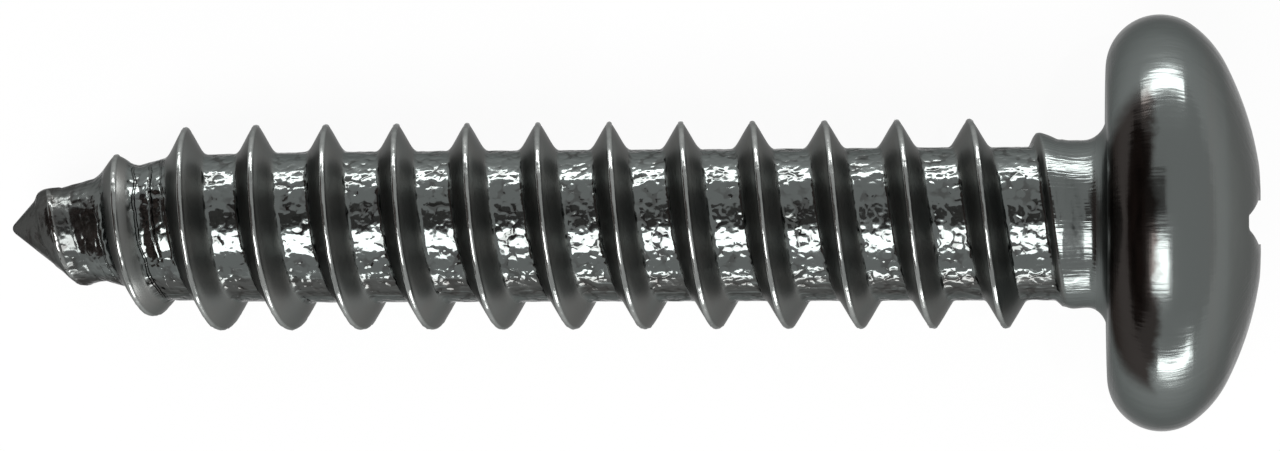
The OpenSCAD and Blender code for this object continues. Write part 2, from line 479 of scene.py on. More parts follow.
@dataclass
class ThreadedShank:
    """Point, core, thread, runout and neck, wound as one skin round the axis.

    Attributes:
        sizes: Sizes of the thread.
        steps: Facets in a turn.
        from_turn: First turn that is wound, past the end of the point.
        to_turn: Last turn that is wound, inside the head.
        foot_reach: Height over which a flank is rounded into the core.
        crest_reach: Height over which a flank is rounded into the crest.
        ridge_reach: How much more the ridge of the runout is rounded.
        drop: Slope at which a flank's line leaves the core once it has passed its foot.
        foot_past: How far a full flank's line runs on past its foot before it does so.
        least_foot: Least width that the columns of a flank take up.
        joint_x: Where the neck is cut square to meet the head.
        nose_cut: Distance from the tip at which the nose is cut and rounded.
        roll_mark: Depth of the marks that the rolling dies leave between the crests.
        roll_mark_size: Size of those marks.
        neck_mark: Depth of the unevenness of the neck.
        neck_mark_size: Size of that unevenness.
        crest_nick: Depth of the nicks in the crests.
        crest_nick_size: Size of those nicks.
    """

    sizes: ThreadSizes = field(default_factory=ThreadSizes)
    steps: int = 128
    from_turn: int = -15
    to_turn: int = 3
    foot_reach: float = 0.14
    crest_reach: float = 0.12
    ridge_reach: float = 0.08
    drop: float = 3.0
    foot_past: float = 0.12
    least_foot: float = 0.25
    joint_x: float = -0.215
    nose_cut: float = 0.07
    roll_mark: float = 0.022
    roll_mark_size: float = 0.25
    neck_mark: float = 0.02
    neck_mark_size: float = 0.45
    crest_nick: float = 0.035
    crest_nick_size: float = 0.12

    def core_at(self, x: np.ndarray) -> np.ndarray:
        """Work out the radius of the core under the thread, from the nose to the shank.

        Args:
            x: Places along the axis.

        Returns:
            The radii.
        """
        s = self.sizes
        line = (
            (s.nose_x, s.nose_r),
            (s.point_l - s.length, s.point_r),
            (s.point_l - s.length + 2 * s.pitch, s.core_r),
        )
        return follow(x, line)

    def plain_at(self, x: np.ndarray, turned: np.ndarray) -> np.ndarray:
        """Radius of everything but the thread: nose, core and neck.

        Args:
            x: Places along the axis.
            turned: Angles round the axis, in radians, from the +Y side.

        Returns:
            The radii.
        """
        s = self.sizes
        base_x = s.nose_x + s.nose_skew * (1 - np.cos(turned)) / 2
        tip_x = s.nose_tip_r / 2 - s.length
        nose = s.nose_tip_r + (s.nose_r - s.nose_tip_r) * (x - tip_x) / (base_x - tip_x)
        core = soft_min(self.core_at(x), np.maximum(nose, 0.01), 0.04)
        foot_x = -s.neck_l - s.neck_cone_l
        cone = s.core_r + (s.neck_r - s.core_r) * (x - foot_x) / s.neck_cone_l
        in_fillet = np.clip(x + s.fillet_r, 0.0, s.fillet_r)
        fillet = s.fillet_r - np.sqrt(s.fillet_r**2 - in_fillet**2)
        neck = np.minimum(cone, s.neck_r) + fillet
        return np.where(x > foot_x - s.pitch, soft_max(core, neck, 0.04), core)

    def crest_x(self, t: np.ndarray) -> np.ndarray:
        """Work out where the crest lies along the axis.

        Args:
            t: Turns.

        Returns:
            The places.
        """
        s = self.sizes
        along = s.pitch * np.minimum(t, s.runout_start) + s.runout_pitch * self.runout(t)
        return along - s.last_crest_x

    def growth(self, t: np.ndarray) -> np.ndarray:
        """Share of their full angle that the flanks have at turn t, from the point on."""
        s = self.sizes
        return np.clip((t - s.first_turn) / s.growth_turns, 0.0, 1.0)

    def runout(self, t: np.ndarray) -> np.ndarray:
        """Turns by which t lies past the start of the runout."""
        return np.maximum(t - self.sizes.runout_start, 0.0)

    def crest_at(self, x: np.ndarray) -> np.ndarray:
        """Work out the radius of the crest, which is lower towards the nose.

        Args:
            x: Places along the axis.

        Returns:
            The radii.
        """
        s = self.sizes
        fall_x = s.crest_point_l - s.length
        pointed = np.clip((fall_x - x) / (fall_x - s.nose_x), 0.0, 1.0)
        return s.thread_r - (s.thread_r - s.crest_start_r) * pointed**s.crest_bulge

    def height(self, t: np.ndarray) -> np.ndarray:
        """Height of the thread over the core at turn t."""
        return self.crest_at(self.crest_x(t)) - self.core_at(self.crest_x(t))

    def crest_r(self, t: np.ndarray) -> np.ndarray:
        """Work out the radius of the crest, the runout's too.

        Args:
            t: Turns.

        Returns:
            The radii.
        """
        s = self.sizes
        line = (
            (0.0, s.thread_r),
            (s.ridge_turns, s.ridge_r),
            (0.86 * s.runout_turns, s.neck_r + s.ridge_h),
            (s.runout_turns, s.neck_r - 0.06),
        )
        past = self.runout(t)
        return np.where(past > 0, follow(past, line), self.crest_at(self.crest_x(t)))

    def full_foot_w(self, t: np.ndarray) -> np.ndarray:
        """Work out the width that a flank of full height has.

        Args:
            t: Turns.

        Returns:
            The widths.
        """
        s = self.sizes
        flank = s.nose_flank_angle + (s.flank_angle - s.nose_flank_angle) * self.growth(t)
        return self.height(t) * np.tan(np.radians(flank))

    def foot_w(self, t: np.ndarray) -> np.ndarray:
        """Work out the width of the flank in front of the crest, steeper along the ridge.

        Args:
            t: Turns.

        Returns:
            The widths.
        """
        s = self.sizes
        full = self.full_foot_w(t)
        return full + (s.ridge_flank_w - full) * np.clip(self.runout(t) / s.ridge_turns, 0.0, 1.0)

    def land_w(self, t: np.ndarray) -> np.ndarray:
        """Width of the flat on the crest at turn t."""
        s = self.sizes
        return s.crest_w + (s.ridge_w - s.crest_w) * self.runout(t) / s.runout_turns

    def slope_w(self, t: np.ndarray) -> np.ndarray:
        """Work out the width of the slope behind the crest, which runs out under the neck.

        Args:
            t: Turns.

        Returns:
            The widths.
        """
        s = self.sizes
        back = self.crest_x(t) - s.crest_w / 2 + self.land_w(t)
        end = back + self.full_foot_w(t)
        start = s.last_turn - 1
        for before, x in s.slope_line:
            reached = s.last_turn - before
            end = end + (x - end) * np.clip((t - start) / (reached - start), 0.0, 1.0)
            start = reached
        return end - back

    def bump(self, t: np.ndarray, x: np.ndarray) -> np.ndarray:
        """Radius of the thread's own section at x: front flank, crest and back flank.

        Args:
            t: Turn of the crest that each place belongs to.
            x: Places along the axis.

        Returns:
            The radii, far below the core where there is no thread.
        """
        s = self.sizes
        top = self.crest_r(t)
        front = self.crest_x(t) - s.crest_w / 2
        back = front + self.land_w(t)
        foot_w = np.maximum(self.foot_w(t), 0.02)
        slope_w = np.maximum(self.slope_w(t), 0.02)
        rise = (top - self.core_at(front - foot_w)) / foot_w
        fall = (top - self.core_at(back + slope_w)) / slope_w
        past = self.foot_past * self.growth(t)
        ahead = top - (front - x) * rise - self.drop * np.maximum(front - foot_w - past - x, 0.0)
        behind = top - (x - back) * fall - self.drop * np.maximum(x - back - slope_w - past, 0.0)
        reach = self.crest_reach + self.ridge_reach * np.clip(self.runout(t) / s.ridge_turns, 0.0, 1.0)
        section = soft_min(top, soft_min(ahead, behind, reach), reach)
        return np.where((t > s.first_turn) & (t < s.last_turn), section, -TOP)

    def columns(self) -> list[float]:
        """Where the columns of the skin lie across one pitch of full thread, crest in the middle.

        Returns:
            Distances from the crest along the axis, from one half pitch before to one after.
        """
        s = self.sizes
        edge = s.crest_w / 2
        foot = edge + s.flank_w
        flank = [edge + (foot - edge) * share for share in (0.05, 0.12, 0.3, 0.5, 0.7, 0.85, 0.94, 1.0)]
        fillet = [foot + step for step in (0.025, 0.05, 0.08)]
        rest = s.pitch / 2 - fillet[-1]
        core = [fillet[-1] + rest * i / 5 for i in range(1, 6)]
        half = [0.025, edge] + flank + fillet + core
        return [-w for w in reversed(half)] + [0.0] + half

    def wind(self) -> bpy.types.Object:
        """Draw one pitch of the full thread and wind it round the axis with a Screw modifier.

        Returns:
            The wound skin, still of full height from end to end.
        """
        s = self.sizes
        start = s.pitch * self.from_turn - s.last_crest_x
        skin = draw_line("screw_surface", [(start + w, s.core_r) for w in self.columns()])
        apply_modifier(
            skin,
            "SCREW",
            axis="X",
            angle=math.tau,
            screw_offset=s.pitch,
            iterations=self.to_turn - self.from_turn,
            steps=self.steps,
            render_steps=self.steps,
            use_merge_vertices=False,
            use_smooth_shade=True,
        )
        with editing(skin):
            bpy.ops.mesh.remove_doubles(threshold=1e-3)
        return skin

    def shape(self, skin: bpy.types.Object) -> None:
        """Move the wound columns onto the crests, flanks and feet, and give each its radius.

        Args:
            skin: The wound skin.
        """
        s = self.sizes
        points = places(skin)
        turned = np.arctan2(points[:, 2], points[:, 1])
        whole = (points[:, 0] + s.last_crest_x) / s.pitch - turned / math.tau
        t = np.round(whole) + turned / math.tau
        across = points[:, 0] - (s.pitch * t - s.last_crest_x)
        edge = s.crest_w / 2
        foot = edge + s.flank_w
        side = np.where(across < 0, -1.0, 1.0)
        away = np.abs(across)
        neighbour = t + side
        feet = np.maximum(self.foot_w(t), self.least_foot)
        feet_beyond = np.maximum(self.foot_w(neighbour), self.least_foot)
        middle = self.crest_x(t) - edge + self.land_w(t) / 2
        middle_beyond = self.crest_x(neighbour) - edge + self.land_w(neighbour) / 2
        half, half_beyond = self.land_w(t) / 2, self.land_w(neighbour) / 2
        on_crest = middle + side * half * away / edge
        on_flank = middle + side * (half + feet * (away - edge) / (foot - edge))
        foot_here = middle + side * (half + feet)
        foot_there = middle_beyond - side * (half_beyond + feet_beyond)
        share = (away - foot) / (s.pitch - 2 * foot)
        on_core = foot_here + (foot_there - foot_here) * share
        x = np.where(away <= edge, on_crest, np.where(away <= foot, on_flank, on_core))
        thread = np.maximum(self.bump(t, x), self.bump(neighbour, x))
        plain = self.plain_at(x, turned)
        radius = soft_max(plain, thread, self.foot_reach)
        flat = np.stack([x, radius * np.cos(turned), radius * np.sin(turned)], axis=1)
        set_places(skin, flat)
        over = radius - plain
        ridge_turn = s.last_turn - np.mod(s.last_turn - turned / math.tau, 1.0)
        neck = smooth_step(x - self.crest_x(ridge_turn), -0.05, 0.0)
        crest = smooth_step(-np.abs(x - middle), -0.06, -0.03) * (over > 0.08) * (1 - neck)
        low = 0.06 + 0.3 * (1 - self.growth(t))
        rolled = (1 - smooth_step(over, low - 0.06, low)) * (1 - neck)
        off_joint = 1 - smooth_step(x, self.joint_x - 0.35, self.joint_x - 0.1)
        on_root = smooth_step(-over, -0.03, 0.0) * (1 - neck)
        on_root *= smooth_step(x, s.nose_x, s.nose_x + s.pitch / 2)
        store(skin, "crest", crest)
        store(skin, "rolled", rolled)
        store(skin, "neck", neck)
        roughen(skin, "roll_marks", on_root, self.roll_mark, self.roll_mark_size, 0.5)
        roughen(skin, "neck_marks", neck * off_joint, self.neck_mark, self.neck_mark_size, 0.5)
        roughen(skin, "crest_nicks", crest, self.crest_nick, self.crest_nick_size, 1.0)

    def close_point(self, skin: bpy.types.Object) -> None:
        """Cut the nose square, draw its rim in step by step and close it, as a blunt rounded tip.

        Args:
            skin: The shaped skin.
        """
        s = self.sizes
        cut_x = self.nose_cut - s.length
        cut_off(skin, cut_x, keep_above=True)
        with editing(skin):
            select_rim(skin, cut_x - 0.01, cut_x + 0.01)
            for step, scale in ((0.03, 0.72), (0.02, 0.6), (0.012, 0.4)):
                bpy.ops.mesh.extrude_region_move(TRANSFORM_OT_translate={"value": (-step, 0.0, 0.0)})
                bpy.ops.transform.resize(value=(1.0, scale, scale), center_override=ORIGIN)
            bpy.ops.mesh.merge(type="CENTER")

    def build(self) -> bpy.types.Object:
        """Wind, shape and close the shank.

        Returns:
            The shank, open where the head goes on.
        """
        skin = self.wind()
        self.shape(skin)
        cut_off(skin, self.joint_x, keep_above=False)
        self.close_point(skin)
        return skin


# ---------------------------------------------------------------------------------------------
# Pan head
# ---------------------------------------------------------------------------------------------


def spin_solid(name: str, points: Sequence[tuple[float, float]], steps: int) -> bpy.types.Object:
    """Spin an outline that starts and ends on the axis into a closed solid.

    Args:
        name: Name of the new object.
        points: The outline, as places along the axis and distances from it.
        steps: Facets round the axis.

    Returns:
        The solid.
    """
    solid = draw_line(name, points)
    with editing(solid):
        bpy.ops.mesh.spin(steps=steps, angle=math.tau, center=ORIGIN, axis=(1.0, 0.0, 0.0))
        bpy.ops.mesh.select_all(action="SELECT")
        bpy.ops.mesh.remove_doubles(threshold=1e-4)
        bpy.ops.mesh.normals_make_consistent(inside=False)
    return solid


def mark_edges(piece: bpy.types.Object, angle: float) -> None:
    """Mark the edges of a piece that bend by more than an angle as sharp.

    Args:
        piece: The piece.
        angle: The angle, in degrees.
    """
    with editing(piece):
        bpy.ops.mesh.select_mode(type="EDGE")
        bpy.ops.mesh.select_all(action="DESELECT")
        bpy.ops.mesh.edges_select_sharp(sharpness=math.radians(angle))
        bpy.ops.mesh.mark_sharp()


@dataclass
class CrossRecess:
    """The tool that cuts the cross recess: two wings and a round middle, trimmed to a cone.

    Attributes:
        sizes: Sizes of the head.
        clear: How far the tool stands out of the crown.
        knee_r: Distance from the axis at which a wing starts to draw in.
        knee_share: Width of a wing there, as a share of that in the middle.
        end_share: The same at its outer end.
        steps: Facets round the axis.
    """

    sizes: HeadSizes
    clear: float = 0.5
    steps: int = 72
    knee_r: float = 1.3
    knee_share: float = 0.8
    end_share: float = 0.08

    @property
    def top_x(self) -> float:
        """Where the recess breaks the crown."""
        return self.sizes.crown_at(self.sizes.recess_r)

    @property
    def floor_x(self) -> float:
        """The deepest place of the recess."""
        return self.top_x - self.sizes.recess_wall_l - self.sizes.recess_tip_l

    def wing(self, spare: float) -> bpy.types.Object:
        """Taper a block towards the floor and extrude it out of the crown.

        Args:
            spare: How far it runs on past the floor and the top of the trimming cone.

        Returns:
            A wing that runs right across the axis, along Y.
        """
        s = self.sizes
        low = self.floor_x - spare
        deselect()
        bpy.ops.mesh.primitive_cube_add(
            size=1.0,
            location=((low + self.top_x) / 2, 0.0, 0.0),
            scale=(self.top_x - low, 2 * s.recess_r + self.clear + spare, s.wing_w),
        )
        wing = bpy.context.object
        bpy.ops.object.transform_apply(location=True, rotation=True, scale=True)
        with editing(wing):
            for way in (-1.0, 1.0):
                bpy.ops.mesh.select_all(action="SELECT")
                bpy.ops.mesh.bisect(plane_co=(0.0, way * self.knee_r, 0.0), plane_no=(0.0, 1.0, 0.0))
                bpy.ops.transform.resize(value=(1.0, 1.0, self.knee_share), center_override=ORIGIN)
                select_faces(wing, Vector((0.0, way, 0.0)))
                bpy.ops.transform.resize(value=(1.0, 1.0, self.end_share), center_override=ORIGIN)
            select_faces(wing, Vector((-1.0, 0.0, 0.0)))
            foot_share = s.wing_foot_w / s.wing_w
            bpy.ops.transform.resize(value=(1.0, 1.0, foot_share), center_override=ORIGIN)
            select_faces(wing, Vector((1.0, 0.0, 0.0)))
            out = self.clear + spare
            bpy.ops.mesh.extrude_region_move(TRANSFORM_OT_translate={"value": (out, 0.0, 0.0)})
            bpy.ops.mesh.select_all(action="SELECT")
            bpy.ops.mesh.quads_convert_to_tris()
        return wing

    def flatten(self, tool: bpy.types.Object) -> None:
        """Merge the tool's slivers away and split its faces into flat ones, for a clean cut.

        Args:
            tool: The tool.
        """
        with editing(tool):
            bpy.ops.mesh.remove_doubles(threshold=1e-3)
            bpy.ops.mesh.dissolve_degenerate(threshold=1e-3)
            bpy.ops.mesh.quads_convert_to_tris()
            bpy.ops.mesh.normals_make_consistent(inside=False)

    def build(self) -> bpy.types.Object:
        """Put the wings and the middle together and trim them.

        The parts end at different heights, because faces in the same plane make the cut fail
        in some runs.

        Returns:
            The tool.
        """
        s = self.sizes
        tool = self.wing(0.05)
        crossing = self.wing(0.08)
        with editing(crossing):
            bpy.ops.transform.rotate(value=math.pi / 2, orient_axis="X", center_override=ORIGIN)
        low, high = self.floor_x - 0.11, self.top_x + self.clear + 0.11
        middle = [(low, 0.0), (low, s.recess_core_foot_r)]
        middle += [(self.top_x, s.recess_core_r), (high, s.recess_core_r), (high, 0.0)]
        over_r = s.recess_r + self.clear * math.tan(math.radians(s.recess_end_angle))
        cone = [(self.floor_x, 0.0), (self.top_x - s.recess_wall_l, s.recess_foot_r)]
        cone += [(self.top_x + self.clear, over_r), (self.top_x + self.clear, 0.0)]
        combine(tool, crossing, "UNION")
        combine(tool, spin_solid("recess_middle", middle, self.steps), "UNION")
        combine(tool, spin_solid("recess_cone", cone, self.steps), "INTERSECT")
        self.flatten(tool)
        return tool


@dataclass
class PanHead:
    """Neck fillet, bearing face and the domed head with its cross recess.

    Attributes:
        sizes: Sizes of the head.
        neck: Sizes of the neck that it sits on.
        steps: Facets round the axis.
        sharp_angle: Angle from which an edge stays sharp, in degrees.
        joint_angle: Angle in the neck's fillet at which the head is joined on, in degrees.
        lip_w: Width over which the crown rounds into the recess.
        lip_h: How far it rounds down there.
    """

    sizes: HeadSizes = field(default_factory=HeadSizes)
    neck: ThreadSizes = field(default_factory=ThreadSizes)
    steps: int = 160
    sharp_angle: float = 32.0
    joint_angle: float = 146.0
    lip_w: float = 0.3
    lip_h: float = 0.03

    def outline(self) -> list[tuple[float, float]]:
        """Draw half a section of the head, from the neck over the bearing face to the crown.

        Returns:
            The section's points, as (place along the axis, radius).
        """
        h, n = self.sizes, self.neck
        fillet_c = (n.neck_r + n.fillet_r, -n.fillet_r)
        crown_c = (0.0, h.head_h - h.crown_r)
        points = arc(fillet_c, n.fillet_r, self.joint_angle, 90, 8)
        points.insert(0, (points[0][0], 0.0))
        bearing_w = h.rim_c[0] - fillet_c[0]
        points += [(0.0, fillet_c[0] + bearing_w * i / 6) for i in range(1, 6)]
        points += arc(h.rim_c, h.rim_r, -90, h.rim_angle, 28)
        points += arc(h.shoulder_c, h.shoulder_r, h.rim_angle, h.crown_angle, 12)[1:]
        points += arc(crown_c, h.crown_r, h.crown_angle, 90, 26)[1:]
        return points

    def round_lip(self, head: bpy.types.Object) -> None:
        """Sink the crown a little all along the mouth of the recess, as the punch leaves it.

        Args:
            head: The head, with its recess cut.
        """
        h = self.sizes
        points = places(head)
        x, y, z = points[:, 0], np.abs(points[:, 1]), np.abs(points[:, 2])
        r = np.hypot(y, z)
        crown = h.head_h - h.crown_r + np.sqrt(h.crown_r**2 - np.minimum(r, 3.0) ** 2)
        on_crown = x > crown - 0.01
        along, across = np.maximum(y, z), np.minimum(y, z)
        tool = CrossRecess(h)
        shares = (1.0, tool.knee_share, tool.end_share)
        half = h.wing_w / 2 * np.interp(along, (0.0, tool.knee_r, h.recess_r), shares)
        off = np.hypot(np.maximum(across - half, 0.0), 4 * np.maximum(along - h.recess_r, 0.0))
        off = np.minimum(off, np.maximum(r - h.recess_core_r, 0.0))
        near = np.clip(1 - off / self.lip_w, 0.0, 1.0)
        points[:, 0] -= np.where(on_crown, self.lip_h * near**2, 0.0)
        set_places(head, points)

    def open_neck(self, head: bpy.types.Object) -> None:
        """Take away the disc that closed the head at the neck.

        Args:
            head: The head.
        """
        with editing(head):
            bpy.ops.mesh.select_mode(type="FACE")
            bpy.ops.mesh.select_all(action="DESELECT")
            mesh = bmesh.from_edit_mesh(head.data)
            for face in mesh.faces:
                if face.normal.x < -0.99 and max(v.co.x for v in face.verts) < -0.1:
                    face.select = True
            bmesh.update_edit_mesh(head.data)
            bpy.ops.mesh.delete(type="FACE")

    def build(self) -> bpy.types.Object:
        """Spin the head, cut its recess and open it at the neck.

        Returns:
            The head, with its edges marked sharp.
        """
        head = spin_solid("head_surface", self.outline(), self.steps)
        combine(head, CrossRecess(self.sizes).build(), "DIFFERENCE")
        self.round_lip(head)
        self.open_neck(head)
        mark_edges(head, self.sharp_angle)
        return head


# ---------------------------------------------------------------------------------------------
# The whole screw
# ---------------------------------------------------------------------------------------------


@dataclass
class Screw:
    """The one piece of steel: shank and head joined into one closed skin.

    Attributes:
        placement: Where it lies.
        shank: The threaded shank.
        head: The head.
    """

    placement: Placement
    shank: ThreadedShank = field(default_factory=ThreadedShank)
    head: PanHead = field(default_factory=PanHead)

    def join(self) -> bpy.types.Object:
        """Join the shank to the head and bridge the seam in the neck.

        Returns:
            The closed skin, in the screw's own frame.
        """
        skin = self.shank.build()
        head = self.head.build()
        activate(skin)
        head.select_set(True)
        bpy.ops.object.join()
        with editing(skin):
            select_rim(skin, -0.25, -0.15)
            bpy.ops.mesh.bridge_edge_loops()
            bpy.ops.mesh.select_all(action="SELECT")
            bpy.ops.mesh.normals_make_consistent(inside=False)
        return skin

    def lay_down(self, skin: bpy.types.Object) -> None:
        """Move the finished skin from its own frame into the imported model's.

        Args:
            skin: The finished skin.
        """
        skin.matrix_world = self.placement.matrix
        activate(skin)
        bpy.ops.object.transform_apply(location=True, rotation=True, scale=True)

    def build(self) -> bpy.types.Object:
        """Returns:
            The finished piece.
        """
        skin = self.join()
        self.lay_down(skin)
        activate(skin)
        bpy.ops.object.shade_smooth()
        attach(skin, BODY)
        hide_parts(NODE)
        return skin


# ---------------------------------------------------------------------------------------------
# Shader maths
# ---------------------------------------------------------------------------------------------


class Socket:
    """A value in a shader. Arithmetic on it adds Math nodes."""

    def __init__(self, shader: "Shader", socket: bpy.types.NodeSocket) -> None:
        """Wrap a socket of a shader's node."""
        self.shader = shader
        self.socket = socket

    def __add__(self, other: "Operand") -> "Socket":
        """This value plus another."""
        return self.shader.maths("ADD", self, other)

    def __sub__(self, other: "Operand") -> "Socket":
        """This value less another."""
        return self.shader.maths("SUBTRACT", self, other)

    def __rsub__(self, other: "Operand") -> "Socket":
        """Another value less this one."""
        return self.shader.maths("SUBTRACT", other, self)

    def __mul__(self, other: "Operand") -> "Socket":
        """This value times another."""
        return self.shader.maths("MULTIPLY", self, other)

    def __truediv__(self, other: "Operand") -> "Socket":
        """This value divided by another."""
        return self.shader.maths("DIVIDE", self, other)

    __radd__ = __add__
    __rmul__ = __mul__


Operand = Union[Socket, float]


class Shader:
    """The nodes of one material."""

    def __init__(self, tree: bpy.types.NodeTree) -> None:
        """Start on a material's or the world's tree of nodes."""
        self.tree = tree

    def feed(self, target: bpy.types.NodeSocket, value: object) -> None:
        """Give a socket a value or a link.

        Args:
            target: The socket.
            value: A value, or a socket to link it to.
        """
        if isinstance(value, Socket):
            self.tree.links.new(value.socket, target)
        else:
            target.default_value = value

    def node(
        self,
        kind: str,
        settings: Optional[dict] = None,
        sockets: Optional[dict] = None,
        output: Union[int, str] = 0,
    ) -> Socket:
        """Add a node.

        Args:
            kind: The node's type.
            settings: Its settings, which are set first.
            sockets: Values or links of its sockets, by name or number.
            output: The output that is wanted.

        Returns:
            That output.
        """
        made = self.tree.nodes.new(kind)
        for key, value in (settings or {}).items():
            setattr(made, key, value)
        for key, value in (sockets or {}).items():
            self.feed(made.inputs[key], value)
        return Socket(self, made.outputs[output])

    def maths(self, operation: str, *operands: Operand) -> Socket:
        """Add a Math node."""
        return self.node("ShaderNodeMath", {"operation": operation}, dict(enumerate(operands)))

    def rise(self, value: Socket, low: float, high: float) -> Socket:
        """Make a smooth mask.

        Args:
            value: What it follows.
            low: Up to here it is 0.
            high: From here on it is 1.

        Returns:
            The mask.
        """
        return self.node(
            "ShaderNodeMapRange",
            {"interpolation_type": "SMOOTHSTEP"},
            {"Value": value, "From Min": low, "From Max": high},
        )

    def blend(self, share: Operand, plain: object, other: object) -> Socket:
        """Mix two colours, of which the second has the given share."""
        sockets = {"Factor": share, 6: plain, 7: other}
        return self.node("ShaderNodeMix", {"data_type": "RGBA"}, sockets, 2)

    def vector(self, x: Operand, y: Operand, z: Operand) -> Socket:
        """A vector from three values."""
        return self.node("ShaderNodeCombineXYZ", None, {0: x, 1: y, 2: z})

    def noise(self, place: Socket, scale: float, detail: float = 2.0, twist: float = 0.0) -> Socket:
        """Cloudy noise around zero, with the given number of clouds to a unit."""
        sockets = {"Vector": place, "Scale": scale, "Detail": detail, "Distortion": twist}
        return self.node("ShaderNodeTexNoise", None, sockets) - 0.5

    def mask(self, name: str) -> Socket:
        """A mask that the mesh holds."""
        return self.node("ShaderNodeAttribute", {"attribute_name": name}, None, "Fac")


def rgba(colour: Colour) -> tuple[float, float, float, float]:
    """A colour with full opacity."""
    return (*colour, 1.0)


# ---------------------------------------------------------------------------------------------
# Finishes
# ---------------------------------------------------------------------------------------------


class Zone(Enum):
    """The parts of the steel surface that rolling, heading and handling leave different."""

    ROLLED = "rolled"
    CREST = "crest"
    NECK = "neck"
    FLANK = "flank"
    HEAD = "head"


@dataclass(frozen=True)
class SteelFinish:
    """Bright zinc-plated steel, hammered between the crests and dull on the flanks, with shade and a crest
    highlight painted into its colour in places.

    Attributes:
        steel: Colour of the clean metal.
        dull: Colour of the flanks, where a thin brown film stays.
        painted_shade: Dark colour painted as shade into the cracks between the roll marks, into the seams,
            over the point and in a band on the roots' lower side.
        rubbed_and_highlit: Colour of the rubbed crests, lighter than the steel, partly wear and partly a
            painted highlight along the crest line.
        edge: How much the metal reflects at a glancing angle.
        roughness: Roughness of each zone.
        hammer: Height of the roll marks, in millimetres.
        pebble: Depth of the gaps between the pebbly bumps among them, in millimetres.
        dent: Depth of the wide, shallow dents in the head, in millimetres.
        streak: Height of the drawing streaks along the neck, in millimetres.
        head_streak: Height of the faint streaks on the head, in millimetres.
        ring: Height of the faint rings round the axis, in millimetres.
        point_x: Where the painted shade on the point ends, in millimetres from the bearing face.
        rim_shade_colour: Colour of the painted shade on the upper side of the rim of the head, next to the
            neck, which stands in for a dark reflection there.
        rim_shade_x: How far that painted shade reaches along the axis.
        rim_shade_z: Height over the axis from which it lies on the rim.
        seam: Depth of the rolled-in seams by the point.
        seam_rise: Where they fade in, from the point on.
        seam_fall: Where they fade out.
        head_rise: Where the neck's finish passes into the head's.
        lower_shade_rise: Where the painted shade on the roots' lower side fades in, across the axis.
        lower_shade_fall: Where it fades out.
    """

    steel: Colour = (0.146, 0.160, 0.156)
    dull: Colour = (0.150, 0.152, 0.146)
    painted_shade: Colour = (0.045, 0.041, 0.039)
    rubbed_and_highlit: Colour = (0.34, 0.35, 0.34)
    edge: float = 0.4
    roughness: tuple[tuple[Zone, float], ...] = (
        (Zone.ROLLED, 0.1),
        (Zone.CREST, 0.17),
        (Zone.NECK, 0.15),
        (Zone.FLANK, 0.32),
        (Zone.HEAD, 0.17),
    )
    hammer: float = 0.022
    pebble: float = 0.03
    dent: float = 0.012
    streak: float = 0.012
    head_streak: float = 0.005
    ring: float = 0.003
    point_x: float = -19.7
    rim_shade_colour: Colour = (0.030, 0.024, 0.022)
    rim_shade_x: float = 0.84
    rim_shade_z: float = 2.8
    seam: float = 0.03
    seam_rise: tuple[float, float] = (-19.7, -19.3)
    seam_fall: tuple[float, float] = (-18.5, -18.1)
    head_rise: tuple[float, float] = (-0.44, -0.3)
    lower_shade_rise: tuple[float, float] = (-1.42, -1.3)
    lower_shade_fall: tuple[float, float] = (-1.05, -0.9)

    def rim_shade(self, shader: Shader, around: Socket, x: Socket, y: Socket, z: Socket) -> Socket:
        """Mask of the painted shade on the upper side of the rim, next to the neck.

        Args:
            shader: The shader.
            around: Place in the screw's own frame, in millimetres.
            x: Place along the axis.
            y: Place across it.
            z: Height over it.

        Returns:
            The mask, with a ragged edge.
        """
        ragged = shader.noise(around, 1.1, 4.0, 0.6) * 0.6 + shader.noise(around, 7.0, 2.0) * 0.15
        near_neck = 1 - shader.rise(x + ragged, self.rim_shade_x - 0.1, self.rim_shade_x + 0.1)
        return near_neck * shader.rise(z - y * 0.1 + ragged * 0.5, self.rim_shade_z - 0.25, self.rim_shade_z + 0.25)

    def seams(self, shader: Shader, x: Socket, y: Socket, z: Socket) -> Socket:
        """Mask of the rolled-in seams that wind round the tapering core by the point.

        Args:
            shader: The shader.
            x: Place along the axis.
            y: Place across it.
            z: Height over it.

        Returns:
            The mask.
        """
        thread = ThreadSizes()
        turned = shader.maths("ARCTAN2", z, y) / math.tau
        wander = shader.noise(shader.vector(x * 2, y * 2, z * 2), 1.0, 3.0) * 0.12
        phase = shader.maths("FRACT", (x + thread.last_crest_x) / thread.pitch - turned) + wander
        made = 0.0
        for place, width in ((0.27, 0.025), (0.50, 0.035), (0.66, 0.02)):
            off = shader.maths("ABSOLUTE", phase - place)
            made = (1 - shader.rise(off, width * 0.3, width)) + made
        return made * (shader.rise(x, *self.seam_rise) * (1 - shader.rise(x, *self.seam_fall)))

    def zones(self, shader: Shader, x: Socket) -> dict[Zone, Socket]:
        """Masks of the zones.

        Args:
            shader: The shader.
            x: Place along the screw's axis, in millimetres.

        Returns:
            A mask for each zone, which add up to one.
        """
        head = shader.rise(x, *self.head_rise)
        made = {zone: shader.mask(zone.value) for zone in (Zone.ROLLED, Zone.CREST, Zone.NECK)}
        made[Zone.HEAD] = head
        made[Zone.FLANK] = 1 - made[Zone.ROLLED] - made[Zone.CREST] - made[Zone.NECK] - head
        return made

